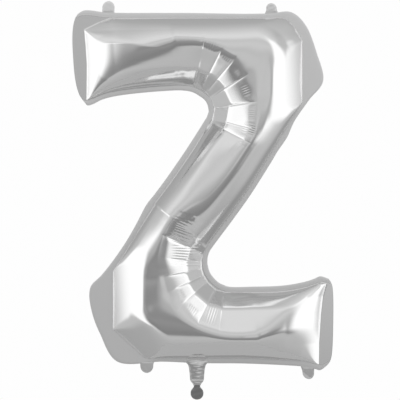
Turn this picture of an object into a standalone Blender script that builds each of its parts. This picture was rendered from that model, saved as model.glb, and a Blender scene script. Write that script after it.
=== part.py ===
"""Letter-shaped foil balloon, inflated: two foil sheets welded round their edge, four hanging tabs and a filling neck.

Metres, +Z up. The letter's face looks along -Y, and the origin is the middle of the letter, between its two sheets.
"""

import math
from collections import namedtuple

import bmesh
import bpy
from mathutils import Vector

MM = 0.001

# The letter is 34 inches tall over its welded edge. The outline's table is in steps of 1/864 of that.
LETTER_HEIGHT = 0.864
OUTLINE_STEP = LETTER_HEIGHT / 864

FILM = 0.8 * MM  # one sheet, at the flat welded margin
WALL = 10.0 * MM  # one sheet where it is blown up, as a shell
PLY_GAP = 0.3 * MM  # between pieces that touch
WELD = 11.0 * MM  # width of the weld round the edge
TUBE_DEPTH = 80.0 * MM  # how far a stroke stands out from the middle plane

ACROSS = 12  # strips over one stroke, from weld to weld
STEPS = 2  # sections between two rows of the table

# One row for each section across the stroke, from the top bar's end, round the Z, to the bottom bar's end.
# ax, az and bx, bz are the section's ends on the letter's edge: a is the rail along the top, the right-hand corner and
# the diagonal's right side, b the other one. depth is how far the sheets stand out between them, as a share of
# TUBE_DEPTH. Places and lengths here and in the tables below are in OUTLINE_STEP.
SECTIONS = [
    # ax, az, bx, bz, depth
    (-303, 425, -290, 213, 1.00),
    (-288, 431, -280, 203, 1.00),
    (-268, 431, -262, 207, 1.00),
    (-246, 428, -242, 216, 1.00),
    (-222, 426, -218, 223, 1.00),
    (-184, 425, -182, 229, 1.00),
    (-125, 425, -125, 235, 1.00),
    (-65, 425, -65, 239, 1.00),
    (-34, 425, -38, 238, 1.00),
    (29, 424, -24, 235, 1.00),
    (101, 423, -13, 230, 0.98),
    (163, 424, -4, 224, 0.95),
    (214, 427, 2, 220, 0.93),
    (251, 392, 8, 214, 0.92),
    (275, 330, 13, 205, 0.92),
    (291, 263, 15, 196, 0.92),
    (257, 216, 16, 189, 0.93),
    (223, 167, 14, 182, 0.95),
    (204, 126, 11, 174, 0.98),
    (181, 92, 7, 168, 1.00),
    (165, 65, 1, 158, 1.00),
    (117, -11, -38, 97, 1.00),
    (72, -74, -82, 33, 1.00),
    (45, -110, -113, -9, 1.00),
    (25, -137, -135, -38, 1.00),
    (18, -148, -158, -82, 1.00),
    (14, -160, -183, -125, 0.98),
    (13, -170, -214, -170, 0.95),
    (13, -177, -241, -204, 0.93),
    (14, -182, -268, -234, 0.92),
    (16, -190, -267, -281, 0.92),
    (20, -200, -246, -342, 0.92),
    (29, -212, -201, -413, 0.93),
    (40, -222, -96, -412, 0.95),
    (52, -228, -24, -415, 0.98),
    (64, -232, 31, -416, 1.00),
    (85, -233, 74, -416, 1.00),
    (120, -232, 120, -417, 1.00),
    (168, -231, 168, -419, 1.00),
    (205, -228, 205, -421, 1.00),
    (234, -223, 236, -423, 1.00),
    (255, -218, 257, -426, 1.00),
    (274, -212, 275, -430, 1.00),
    (290, -207, 290, -432, 1.00),
    (312, -213, 309, -420, 1.00),
]
A_RAIL = slice(0, 2)
B_RAIL = slice(2, 4)
DEPTH = 4

# The two bends, which are mitred. On the inner side the tube is made of straight gores, and on the outer one of straight
# sides, with two flat facets across the corner where they are lower than the tube. All are given as seen from one
# centre: the bearing in degrees, how far the seam lies from the centre, and how much faster than the rest it rises.
# rows are the sections between which the bend lies, and outer is the rail on its outer side.
Bend = namedtuple("Bend", "centre rows outer gores sides facets")
BENDS = [
    Bend(
        centre=(-29, 188),
        rows=(7.2, 20.8),
        outer="a",
        gores=[(90, 62), (67.2, 60), (57.6, 60), (39.8, 58.5), (23.6, 57), (-9.4, 56), (-24, 57), (-33.7, 59)],
        sides=[(90, 225, 1.0), (0, 270, 1.04), (-31.5, 217.6, 1.0)],
        facets=[(25.8, 309.7, 1.0), (0, 270, 1.04)],
    ),
    Bend(
        centre=(61, -179),
        rows=(23.6, 36.6),
        outer="b",
        gores=[(146.3, 61), (163, 62), (183, 62), (197, 62), (211, 62), (229, 63), (256, 65), (270, 66)],
        sides=[(270, 225, 1.0), (180, 271, 1.09), (148.5, 226, 1.0)],
        facets=[(211, 311, 1.0), (180, 271, 1.09)],
    ),
]
FACET_HEIGHT = 78.0  # the facet's height at FACET_SPAN from its seam, where it no longer rises
FACET_SPAN = 113.0
LEAST_FACING = 0.2  # cosine between a section and a side's bearing from which the side counts for it
GORES_END = (-0.35, 0.15)  # the gores' part of a section, which has -1 at its inner seam and 1 at its outer one

# The letter's two ends. A facet rises from the flat strip along the end and meets the tube in two ridges that run to a
# point: the strip's inner edge as places along x and z, the point's distance from it and its z, over how far the facet
# flattens out and at which height, and how much lower it stands for each step under the point. flank is the height at
# which the tube's upper flank leaves the strip, where that is a straight one, and how fast its seam climbs from there.
# The last three are the sections where the end stops, where its taper stops, and the way that it faces along X.
End = namedtuple("End", "strip reach point flattens height under flank last_row last_taper faces")
LEFT_END = End(
    [(-277, 215), (-276, 300), (-279, 345), (-282, 380), (-291, 400), (-291, 425)],
    68, 347, 120, 79, 0.0, (384, 0.4), 7, 7, -1,
)
RIGHT_END = End(
    [(281, -410), (281, -367), (285, -300), (290, -255), (298, -225)],
    84, -324, 110, 62, 0.002, None, 37.2, 33, 1,
)
AFTER_POINT = 0.26  # the tube's slope along itself at the point
BEYOND_POINT = 0.5  # the facet's, where the tube has already taken over
POINT_ROUNDING = 25  # how far from the point the facet starts to stand lower
CREST_SETTLES = (95, 212)  # distances from the strip between which the tube's crest comes back to its middle
FLANK_ROUNDS = (40, 230)  # the same for its straight upper flank, which turns round
FLANK_BULGE = 0.3  # how much the straight flank bulges out

# How far along X each end of the letter bows between its corners, how far its corners are drawn in, and over how many
# rows that fades away.
LEFT_BOW = -13.0 * MM
RIGHT_BOW = 4.5 * MM
CORNER_PULL = 8.0 * MM
BOW_ROWS = 3

# Hanging tabs: ears with a straight root on the letter's edge and a round end.
TAB_THICKNESS = 1.0 * MM
TAB_TURNS = 12
TABS = [
    # name, place of its middle along X, width and length in millimetres, and 1 where it points up or -1 down
    ("tab_top_left", -225.0, 30.0, 27.5, 1),
    ("tab_top_right", 166.0, 30.0, 23.5, 1),
    ("tab_bottom_left", -133.0, 33.0, 27.0, -1),
    ("tab_bottom_right", 254.0, 32.0, 28.0, -1),
]

# The filling neck: two films welded down both sides, from the letter's lower edge to the waist, and a round pull end.
NECK_X = -12.0 * MM
NECK_BULGE = 5.0 * MM
NECK_WELD = 3.5 * MM
NECK_ACROSS = 6
NECK_FILM = 0.5 * MM
NECK_OUTLINE = [
    # depth below the edge, half width, both in millimetres: flared root, straight sides, round shoulders, waist
    (0.0, 26.0),
    (4.0, 22.5),
    (9.0, 20.2),
    (18.0, 18.8),
    (30.0, 17.6),
    (41.0, 16.2),
    (47.0, 13.2),
    (52.0, 9.0),
    (55.5, 7.6),
]
PULL_RADIUS = 15.4 * MM
PULL_CENTRE = 73.0 * MM  # below the edge
PULL_WAIST = 7.4 * MM  # half its width where it leaves the neck
PULL_THICKNESS = 0.8 * MM
PULL_OPENING = 60  # degrees of its circle that are open at the top
PULL_TURNS = 20

SHARP_FROM = 35  # degrees between two faces from which their edge is shown sharp
FOIL_COLOUR = (0.80, 0.80, 0.81, 1.0)
TAB_COLOUR = (0.72, 0.72, 0.73, 1.0)
PULL_COLOUR = (0.35, 0.35, 0.36, 1.0)


Section = namedtuple("Section", "points outer inner")


def clear_scene():
    for obj in list(bpy.data.objects):
        bpy.data.objects.remove(obj, do_unlink=True)


def material(name, colour, roughness, metallic):
    made = bpy.data.materials.new(name)
    made.use_nodes = True
    shader = made.node_tree.nodes["Principled BSDF"]
    shader.inputs["Base Color"].default_value = colour
    shader.inputs["Roughness"].default_value = roughness
    shader.inputs["Metallic"].default_value = metallic
    return made


def between(rows, position):
    """The table's row at a position between two rows, on a smooth curve through its neighbours."""
    last = len(rows) - 1
    i = min(int(position), last - 1)
    t = position - i
    before, here, there, after = (rows[min(max(i + k, 0), last)] for k in (-1, 0, 1, 2))
    return [
        0.5 * (2 * q + (r - p) * t + (2 * p - 5 * q + 4 * r - s) * t**2 + (3 * q - p - 3 * r + s) * t**3)
        for p, q, r, s in zip(before, here, there, after)
    ]


def end_bow(position, share):
    """How far a point of the stroke moves sideways to follow the bowed end of the letter."""
    last = len(SECTIONS) - 1
    off = abs(2.0 * share - 1.0)
    left = max(0.0, 1.0 - position / BOW_ROWS)
    right = max(0.0, 1.0 - (last - position) / BOW_ROWS)
    return (left * LEFT_BOW + right * RIGHT_BOW) * (1 - off**3) + (left - right) * CORNER_PULL * off**12


def smooth(value, low, high):
    share = min(max((value - low) / (high - low), 0.0), 1.0)
    return share * share * (3 - 2 * share)


def outward(point, centre, bearing):
    """How far a point lies from a centre towards a bearing."""
    turn = math.radians(bearing)
    return (point.x - centre[0]) * math.cos(turn) + (point.y - centre[1]) * math.sin(turn)


def belongs(position, bend):
    """How far a section belongs to a bend: 0 outside it, 1 well inside it."""
    first, last = bend.rows
    return smooth(position, first, first + 1) * (1 - smooth(position, last - 1, last))


def inside_sides(point, bend, sides):
    return min(faster * (reach - outward(point, bend.centre, bearing)) for bearing, reach, faster in sides)


def flat_width(point, along, bend):
    """How far from the letter's edge the sheets first part on a section that starts there and runs inwards."""
    widths = [WELD / OUTLINE_STEP]
    for bearing, reach, _ in bend.sides + bend.facets:
        turn = math.radians(bearing)
        slant = along.x * math.cos(turn) + along.y * math.sin(turn)
        if slant < -LEAST_FACING:
            widths.append((reach - outward(point, bend.centre, bearing)) / slant)
    return max(widths)


def between_points(points, value, known, wanted):
    """One coordinate of a bent line where its other one has a value."""
    rows = sorted(points, key=lambda p: p[known])
    value = min(max(value, rows[0][known]), rows[-1][known])
    for p, q in zip(rows, rows[1:]):
        if value <= q[known]:
            return p[wanted] + (q[wanted] - p[wanted]) * (value - p[known]) / (q[known] - p[known])
    return rows[-1][wanted]


def beyond_strip(point, end):
    return (between_points(end.strip, point.y, 1, 0) - point.x) * end.faces


def facet_rise(inside, end):
    near = end.height * (1 - (1 - min(inside, end.reach) / end.flattens) ** 2)
    return near + BEYOND_POINT * max(inside - end.reach, 0.0)


def crest_height(inside, end):
    """The height of the tube's crest at a distance from the strip at its end."""
    full = TUBE_DEPTH / OUTLINE_STEP
    point = facet_rise(end.reach, end)
    taper = 2 * (full - point) / AFTER_POINT
    after = min(max(inside - end.reach, -end.reach), taper)
    return point + AFTER_POINT * (after - after**2 / (2 * taper))


def end_height(point, from_a, from_b, end, wall):
    """The sheet's height near the letter's end, which is the facet's or the tube's, whichever is lower."""
    inside = max(beyond_strip(point, end) - wall, 0.0)
    top, bottom = point.y + from_a, point.y - from_b
    crest = end.point + ((top + bottom) / 2 - end.point) * smooth(inside, *CREST_SETTLES)
    straight = 0.0
    if end.flank and point.y > crest:
        seam, climb = end.flank
        top = min(top, seam + climb * inside - wall)
        straight = 1 - smooth(inside, *FLANK_ROUNDS)
    reach = top - crest if point.y > crest else crest - bottom
    share = min(abs(point.y - crest) / max(reach, 1.0), 1.0)
    profile = straight * (1 - share) * (1 + FLANK_BULGE * share) + (1 - straight) * math.sqrt(1 - share**2)
    under = max(end.point - point.y, 0.0)
    lower = end.under * under**2 / (under + POINT_ROUNDING)
    body = (crest_height(inside, end) - wall) * profile
    return max(0.0, min(body, facet_rise(inside, end) * (1 - lower)))


def tube_height(from_a, from_b, depth):
    from_a, from_b = max(from_a, 0.0), max(from_b, 0.0)
    if from_a + from_b == 0:
        return 0.0
    return depth * 2 * math.sqrt(from_a * from_b) / (from_a + from_b)


def height_at(position, point, from_a, from_b, depth, wall):
    """How far the sheet's outer surface stands off the middle plane, or its inner one with the wall's thickness."""
    from_a, from_b, depth = from_a - wall, from_b - wall, depth - wall
    if min(from_a, from_b, depth) <= 0:
        return 0.0
    for end in (LEFT_END, RIGHT_END):
        if (end.last_row - position) * -end.faces > 0:
            return end_height(point, from_a, from_b, end, wall)
    swing = (from_b - from_a) / (from_a + from_b)
    limit = math.inf
    for bend in BENDS:
        share = belongs(position, bend)
        if share == 0:
            continue
        side = inside_sides(point, bend, bend.sides) - wall
        gore = max(outward(point, bend.centre, bearing) - reach for bearing, reach in bend.gores) - wall
        if bend.outer == "a":
            from_a += share * (side - from_a)
            from_b += share * (1 - smooth(swing, *GORES_END)) * (gore - from_b)
        else:
            from_b += share * (side - from_b)
            from_a += share * (1 - smooth(-swing, *GORES_END)) * (gore - from_a)
        facet = min(max((inside_sides(point, bend, bend.facets) - wall) / FACET_SPAN, 0.0), 1.0)
        limit = FACET_HEIGHT * (1 - (1 - facet) ** 2) + (1 - share) * FACET_HEIGHT
    height = tube_height(from_a, from_b, depth)
    for end in (LEFT_END, RIGHT_END):
        if (end.last_taper - position) * -end.faces > 0:
            height *= crest_height(beyond_strip(point, end), end) / (TUBE_DEPTH / OUTLINE_STEP)
    return min(height, limit)


def sections():
    """Each section across the stroke, as points from edge a to edge b with the outer and inner surface's depths."""
    made = []
    for n in range((len(SECTIONS) - 1) * STEPS + 1):
        position = n / STEPS
        row = between(SECTIONS, position)
        a, b = Vector(row[A_RAIL]), Vector(row[B_RAIL])
        length = (b - a).length
        along = (b - a) / length
        flat_a = flat_b = WELD / OUTLINE_STEP
        for bend in BENDS:
            if belongs(position, bend) > 0 and bend.outer == "a":
                flat_a = flat_width(a, along, bend)
            elif belongs(position, bend) > 0:
                flat_b = flat_width(b, -along, bend)
        depth = row[DEPTH] * TUBE_DEPTH / OUTLINE_STEP
        wall = (WALL - FILM) / OUTLINE_STEP
        places = [0.0]
        for k in range(ACROSS + 1):
            places.append(flat_a + (length - flat_a - flat_b) * (1 - math.cos(math.pi * k / ACROSS)) / 2)
        places.append(length)
        points, outer, inner = [], [], []
        for place in places:
            point = a + along * place
            point.x += end_bow(position, place / length) / OUTLINE_STEP
            from_a, from_b = place - flat_a, length - flat_b - place
            points.append(point * OUTLINE_STEP)
            outer.append(height_at(position, point, from_a, from_b, depth, 0.0) * OUTLINE_STEP)
            inner.append(height_at(position, point, from_a, from_b, depth, wall) * OUTLINE_STEP)
        made.append(Section(points, outer, inner))
    return made


def vertices(mesh, rows, depths, side, lift):
    """A grid of vertices, one row for each section, lifted off the middle plane. side is -1 in front and 1 behind."""
    return [
        [mesh.verts.new((p.x, side * (lift + depth), p.y)) for p, depth in zip(row.points, getattr(row, depths))]
        for row in rows
    ]


def sheet(name, rows, side, film, finish):
    """A closed solid between the outer and the inner surface over the same sections."""
    mesh = bmesh.new()
    outer = vertices(mesh, rows, "outer", side, PLY_GAP / 2 + film)
    inner = vertices(mesh, rows, "inner", side, PLY_GAP / 2)
    last_row, last_point = len(rows) - 1, len(rows[0].points) - 1
    for i in range(last_row):
        for k in range(last_point):
            for layer in (outer, inner):
                mesh.faces.new((layer[i][k], layer[i + 1][k], layer[i + 1][k + 1], layer[i][k + 1]))
        for k in (0, last_point):
            mesh.faces.new((outer[i][k], outer[i + 1][k], inner[i + 1][k], inner[i][k]))
    for i in (0, last_row):
        for k in range(last_point):
            mesh.faces.new((outer[i][k], outer[i][k + 1], inner[i][k + 1], inner[i][k]))
    bmesh.ops.recalc_face_normals(mesh, faces=mesh.faces)
    as_object(name, mesh, finish)


def as_object(name, mesh, finish):
    data = bpy.data.meshes.new(name)
    mesh.to_mesh(data)
    mesh.free()
    data.materials.append(finish)
    data.shade_smooth()
    data.set_sharp_from_angle(angle=math.radians(SHARP_FROM))
    PARTS.objects.link(bpy.data.objects.new(name, data))


def edge_height(rows, x, up):
    """The height of the letter's upper (up = 1) or lower (up = -1) edge at x, in metres."""
    found = []
    rail = [row.points[0 if up > 0 else -1] for row in rows]
    for p, q in zip(rail, rail[1:]):
        if min(p.x, q.x) <= x <= max(p.x, q.x):
            found.append(p.y + (q.y - p.y) * (x - p.x) / (q.x - p.x))
    return max(found) if up > 0 else min(found)


def neck(rows, finish):
    root_half = NECK_OUTLINE[0][1] * MM
    root = min(edge_height(rows, NECK_X + k * root_half / 4, -1) for k in range(-4, 5)) - PLY_GAP
    made = []
    for down, half in NECK_OUTLINE:
        half_width = half * MM
        inside = half_width - NECK_WELD
        bulge = NECK_BULGE * (1.0 - (down / NECK_OUTLINE[-1][0]) ** 3)
        places, depths = [-half_width], [0.0]
        for k in range(NECK_ACROSS + 1):
            swing = math.cos(math.pi * k / NECK_ACROSS)
            places.append(-inside * swing)
            depths.append(bulge * (1 - swing**2))
        places.append(half_width)
        depths.append(0.0)
        points = [Vector((NECK_X + place, root - down * MM)) for place in places]
        made.append(Section(points, depths, depths))
    sheet("neck_front_film", made, -1, NECK_FILM, finish)
    sheet("neck_back_film", made, 1, NECK_FILM, finish)
    return root


def flat_piece(name, corners, thickness, finish):
    """A flat piece in the plane between the two sheets: a filled outline, extruded by half its thickness."""
    curve = bpy.data.curves.new(name, "CURVE")
    curve.dimensions = "2D"
    curve.fill_mode = "BOTH"
    curve.extrude = thickness / 2
    spline = curve.splines.new("POLY")
    spline.points.add(len(corners) - 1)
    for point, (across, up) in zip(spline.points, corners):
        point.co = (across, up, 0.0, 1.0)
    spline.use_cyclic_u = True
    curve.materials.append(finish)
    made = bpy.data.objects.new(name, curve)
    made.rotation_euler = (math.radians(90), 0.0, 0.0)
    PARTS.objects.link(made)


def tab(rows, name, middle, width, length, up, finish):
    """An ear whose root follows the letter's edge and whose end is round."""
    radius = width * MM / 2
    x = middle * MM
    places = [x + k * radius / 2 for k in (-2, -1, 0, 1, 2)]
    corners = [(place, edge_height(rows, place, up) + up * PLY_GAP) for place in places]
    centre = edge_height(rows, x, up) + up * (length * MM - radius)
    for k in range(TAB_TURNS + 1):
        angle = math.pi * k / TAB_TURNS
        corners.append((x + radius * math.cos(angle), centre + up * radius * math.sin(angle)))
    flat_piece(name, corners, TAB_THICKNESS, finish)


def pull_end(root, finish):
    """The round flap below the neck's waist: a straight top that runs into most of a circle."""
    top = root - NECK_OUTLINE[-1][0] * MM - PLY_GAP
    centre = root - PULL_CENTRE
    corners = [(NECK_X - PULL_WAIST, top), (NECK_X + PULL_WAIST, top)]
    for k in range(PULL_TURNS + 1):
        angle = math.radians(90 - PULL_OPENING / 2 - (360 - PULL_OPENING) * k / PULL_TURNS)
        corners.append((NECK_X + PULL_RADIUS * math.cos(angle), centre + PULL_RADIUS * math.sin(angle)))
    flat_piece("neck_pull_end", corners, PULL_THICKNESS, finish)


clear_scene()
PARTS = bpy.data.collections.new("letter_foil_balloon")
bpy.context.scene.collection.children.link(PARTS)
foil = material("foil", FOIL_COLOUR, 0.15, 1.0)
tab_film = material("tab_film", TAB_COLOUR, 0.3, 0.9)
pull_film = material("pull_film", PULL_COLOUR, 0.4, 0.6)
letter = sections()
sheet("front_foil_panel", letter, -1, FILM, foil)
sheet("back_foil_panel", letter, 1, FILM, foil)
for tab_row in TABS:
    tab(letter, *tab_row, tab_film)
neck_root = neck(letter, foil)
pull_end(neck_root, pull_film)
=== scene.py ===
"""Looks of the letter foil balloon: two mirror-bright sheets with gores and tucks, soft tabs and a neck.

The sheets are worked out in millimetres, as x and z over the letter's plan and a height off the plane
between them. The letter's face looks along -Y. The tables follow the photograph, with places in the letter's
own frame.
"""

import math
from collections import namedtuple

import bpy
import numpy as np
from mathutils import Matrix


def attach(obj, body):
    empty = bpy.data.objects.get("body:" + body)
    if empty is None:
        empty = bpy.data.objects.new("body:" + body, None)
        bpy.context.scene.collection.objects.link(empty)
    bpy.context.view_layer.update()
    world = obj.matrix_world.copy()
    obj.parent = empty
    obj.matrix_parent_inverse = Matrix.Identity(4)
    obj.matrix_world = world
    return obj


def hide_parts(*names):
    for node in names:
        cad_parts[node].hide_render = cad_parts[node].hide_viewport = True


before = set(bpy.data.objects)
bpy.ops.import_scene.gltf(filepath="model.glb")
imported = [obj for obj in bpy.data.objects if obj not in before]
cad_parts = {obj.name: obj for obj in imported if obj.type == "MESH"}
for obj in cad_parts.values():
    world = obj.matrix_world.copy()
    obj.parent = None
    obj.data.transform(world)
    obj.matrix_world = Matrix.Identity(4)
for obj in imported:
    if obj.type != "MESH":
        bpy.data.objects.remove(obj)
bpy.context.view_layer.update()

MM = 0.001
FAR = 1e9
TINY = 1e-6  # keeps a divisor away from zero

# Outline of the letter, in millimetres: the same sections across the stroke as in the solids, from the top
# bar's end, round the Z, to the bottom bar's end. Rail a runs along the top and the diagonal's right side,
# and rail b along the other edge. Depth is the share of TUBE_DEPTH that the sheets stand out. A position
# along the letter is counted in rows of this table.
SECTIONS = np.array([
    # ax, az, bx, bz, depth
    (-303, 425, -290, 213, 1.00),
    (-288, 431, -280, 203, 1.00),
    (-268, 431, -262, 207, 1.00),
    (-246, 428, -242, 216, 1.00),
    (-222, 426, -218, 223, 1.00),
    (-184, 425, -182, 229, 1.00),
    (-125, 425, -125, 235, 1.00),
    (-65, 425, -65, 239, 1.00),
    (-34, 425, -38, 238, 1.00),
    (29, 424, -24, 235, 1.00),
    (101, 423, -13, 230, 0.97),
    (163, 424, -4, 224, 0.93),
    (214, 427, 2, 220, 0.89),
    (251, 392, 8, 214, 0.86),
    (275, 330, 13, 205, 0.86),
    (291, 263, 15, 196, 0.86),
    (257, 216, 16, 189, 0.89),
    (223, 167, 14, 182, 0.93),
    (204, 126, 11, 174, 0.97),
    (181, 92, 7, 168, 1.00),
    (165, 65, 1, 158, 1.00),
    (117, -11, -38, 97, 1.00),
    (72, -74, -82, 33, 1.00),
    (45, -110, -113, -9, 1.00),
    (25, -137, -135, -38, 1.00),
    (18, -148, -158, -82, 1.00),
    (14, -160, -183, -125, 0.97),
    (13, -170, -214, -170, 0.93),
    (13, -177, -241, -204, 0.89),
    (14, -182, -268, -234, 0.86),
    (16, -190, -267, -281, 0.86),
    (20, -200, -246, -342, 0.86),
    (29, -212, -201, -413, 0.89),
    (40, -222, -96, -412, 0.93),
    (52, -228, -24, -415, 0.97),
    (64, -232, 31, -416, 1.00),
    (85, -233, 74, -416, 1.00),
    (120, -232, 120, -417, 1.00),
    (168, -231, 168, -419, 1.00),
    (205, -228, 205, -421, 1.00),
    (234, -223, 236, -423, 1.00),
    (255, -218, 257, -426, 1.00),
    (274, -212, 275, -430, 1.00),
    (290, -207, 290, -432, 1.00),
    (312, -213, 309, -420, 1.00),
], dtype=float)
TUBE_DEPTH = 80.0
WELD = 11.0
LEAST_SLACK = 1.2  # width of film that lies flat beyond the weld everywhere
FILM_GAP = 0.4  # each sheet's height off the middle plane at the weld
LEFT_BOW = -13.0
RIGHT_BOW = 4.5
BOW_ROWS = 3  # over how many rows of the table the ends are bowed
BOW_POWER = 3  # how suddenly the bow ends towards the corners
CORNER_PULL = 8.0  # how far the ends' outer corners are drawn in
CORNER_POWER = 12  # how close to the corners that is felt

# The mesh: how many rows each part of the letter has and how many cells lie across it.
ROWS = {"bar": 88, "bend": 226, "diagonal": 96}
ACROSS = 116
EVEN_PART = 0.3  # share of the spacing across that is even, where the rest is closer together at the seams
IN_WELD = (0.0, 0.3, 0.65, 0.9, 1.0)  # shares of the weld's width
IN_SLACK = (0.4, 0.8, 0.97)  # shares of the slack's
FINE_STEPS = 24  # points on a rail between two rows of the table
FINE_BEARINGS = 4000
# Positions at which a row of the mesh lies along a section, between the ends and the bends.
TOP_BAR_ROW = 4
DIAGONAL_ROWS = (21, 22)
BOTTOM_BAR_ROW = 40

# The two bends. Their tucks all point at one centre, so the rows of the mesh are rays from it there.
BENDS = ("upper", "lower")
CENTRES = {"upper": (-29.0, 188.0), "lower": (61.0, -179.0)}
# Positions between which the rays cross rail a and rail b.
RAYS_CROSS = {"upper": ((7, 21), (7, 21)), "lower": ((24, 37.5), (23, 37.5))}
# Positions over which a bend's shape takes over, over which it gives way, and between which it has its slack.
BEND_STARTS = {"upper": (7.2, 8.3), "lower": (23.6, 24.6)}
BEND_ENDS = {"upper": (19.8, 20.8), "lower": (35.6, 36.6)}
BEND_SLACK = {"upper": (7.5, 20.5), "lower": (23.9, 36.3)}
GORES = {
    # bearing of each gore across the stroke in degrees, then how far its seam lies from the centre
    "upper": [
        (90.0, 62.0), (67.2, 60.0), (57.6, 60.0), (39.8, 58.5),
        (23.6, 57.0), (-9.4, 56.0), (-24.0, 57.0), (-33.7, 59.0),
    ],
    "lower": [
        (146.3, 61.0), (163.0, 62.0), (183.0, 62.0), (197.0, 62.0),
        (211.0, 62.0), (229.0, 63.0), (256.0, 65.0), (270.0, 66.0),
    ],
}
# Where the gores give way to the round tube, from -1 at their own edge to 1 at the other.
GORE_FADES = (-0.35, 0.15)

# The straight inner flanks: the slope next to the seam, how far from it that ends, and the slope after it.
FLANK_STEEP = 1.22
FLANK_KNEE = 37.0
FLANK_FLAT = 0.5
FLANK_ROUNDING = 4.0
# Rail b's flank and rail a's: x over which it turns straight in its bar, and positions over which it does in
# the diagonal.
STRAIGHT_X = {"b": (-240.0, 20.0), "a": (280.0, 90.0)}
STRAIGHT_ALONG = {"b": (24.0, 19.0), "a": (20.5, 25.5)}

TUCKS = {
    # bearing in degrees, where it starts and ends from the centre, depth, width
    "upper": [
        (78.6, 66, 190, 1.4, 2.6),
        (62.4, 64, 172, 1.9, 2.6),
        (48.7, 64, 174, 1.8, 2.6),
        (31.7, 64, 165, 1.7, 2.6),
        (7.1, 60, 164, 1.6, 2.4),
        (-16.7, 84, 166, 1.0, 2.2),
        (-28.9, 62, 170, 1.3, 2.4),
    ],
    "lower": [
        (154.6, 64, 176, 2.2, 3.2),
        (173.0, 70, 140, 0.8, 2.0),
        (190.0, 62, 152, 1.4, 2.4),
        (204.0, 64, 147, 1.5, 2.4),
        (220.0, 62, 146, 1.6, 2.4),
        (242.5, 66, 162, 1.6, 2.4),
        (263.0, 72, 163, 1.3, 2.2),
    ],
}
TUCK_STARTS = 12.0  # length over which a tuck gets deeper
TUCK_ENDS = 30.0  # and over which it runs out
TUCK_SKEW = 0.55  # width of its steeper flank beside the other
TUCK_BOTTOM = 0.3  # how round its bottom is
TUCK_ROWS = (2.2, 1.6)  # how much closer the rows are beside a tuck, and within how many degrees
RELIEF_FADES = (2.0, 14.0)  # heights over which tucks, pleats and folds come in

# Groups of fine pleats beside the tucks: bearing, distance from the centre, how many, their length, their
# spacing, depth.
PLEATS = {
    "upper": [
        (71.4, 161, 4, 25, 6.0, 0.7),
        (54.2, 152, 5, 16, 5.0, 0.6),
        (38.3, 141, 6, 18, 5.0, 0.6),
        (19.8, 137, 5, 15, 5.5, 0.6),
        (-2.5, 149, 7, 17, 5.0, 0.6),
        (-17.4, 146, 6, 28, 5.0, 0.7),
        (-39.7, 143.5, 7, 22, 5.0, 0.7),
    ],
    "lower": [
        (252.0, 120, 5, 40, 6.0, 0.6),
        (212.0, 132, 4, 16, 5.5, 0.5),
        (231.0, 135, 5, 18, 5.5, 0.5),
    ],
}
PLEAT_WIDTH = 1.5
GROUP_ROWS = (1.6, 4.0)  # how much closer the rows are beside a group, and within how many degrees
# How uneven the pleats of a group are: how far they shift, and shares of their length and depth. A sine gives
# it, with a step in radians from each pleat to the next.
GROUP_UNEVEN = (3.0, 0.25, 0.3)
GROUP_STEP = 12.9
# Rows of pleats on the diagonal: middle of the first and last, their number, direction in degrees, length,
# depth.
PLEAT_ROWS = [
    ((-34, -62), (-53, -127), 12, -22.0, 70, 0.9),
    ((-43, -134), (-43, -178), 8, -4.0, 62, 0.7),
]
ROW_UNEVEN = (5.0, 2.0, 0.2)  # how far they shift, by how many degrees they turn, and a share of their length
ROW_STEP = 7.3
ROW_PHASE = 1.0

# Ridges and long creases: points along each, change of slope across it, how far it reaches, shares over which
# its ends fade. A positive change makes a ridge, a negative one a valley.
FOLDS = [
    ([(163, 312), (167, 276), (164, 230), (155, 187), (143, 138), (126, 100)], 0.15, 30, 0.20, 0.50),
    ([(-139, -295), (-139, -240), (-137, -190), (-128, -150)], 0.15, 30, 0.20, 0.60),
    ([(-240, 247), (-150, 262), (-18, 277)], -0.14, 14, 0.30, 0.10),
    ([(-196, 252), (-110, 254), (-18, 253)], 0.12, 12, 0.30, 0.10),
    ([(41, 158), (2, 104), (-44, 41)], -0.16, 12, 0.15, 0.30),
    ([(-18, -142), (25, -96), (65, -50)], -0.14, 12, 0.20, 0.20),
    ([(58, -262), (150, -249), (271, -228)], -0.12, 14, 0.20, 0.30),
]

# Outer sides of the bends: bearing of each straight side, how far its seam lies from the centre, and how much
# faster the film rises from it than from the others. Where two meet there is a ridge.
SIDES = {
    "upper": [(90.0, 225.0, 1.0), (0.0, 270.0, 1.04), (-31.5, 217.6, 1.0)],
    "lower": [(270.0, 225.0, 1.0), (180.0, 275.0, 1.07), (148.5, 226.0, 1.0)],
}
# The faces at each outer corner, where they are lower than the tube. Those across the corner come first, and
# the one along the side last: bearing, how far the seam lies from the centre, and how much faster the face
# rises than one that reaches FACET_HEIGHT over FACET_SPAN.
CORNERS = {
    "upper": [(60.0, 309.0, 1.0), (45.0, 323.0, 1.0), (30.0, 320.0, 1.0), (0.0, 270.0, 1.0)],
    "lower": [(228.0, 300.0, 0.96), (180.0, 275.0, 0.95)],
}
FACET_HEIGHT = 160.0
FACET_SPAN = 296.0
SIDE_FACING = 0.2  # least cosine between a ray and the bearing of a side that it crosses
RIDGE = 10.0  # how far a ridge's rounding reaches, in millimetres of height
SEAM_ROUNDING = 20.0  # the same for the meeting of two sides
END_RIDGE = 14.0  # and for the two ridges at an end
LOW_RIDGE = 0.5  # share of the height at which a low ridge's rounding stops
LEAST_RIDGE = 0.01

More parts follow.
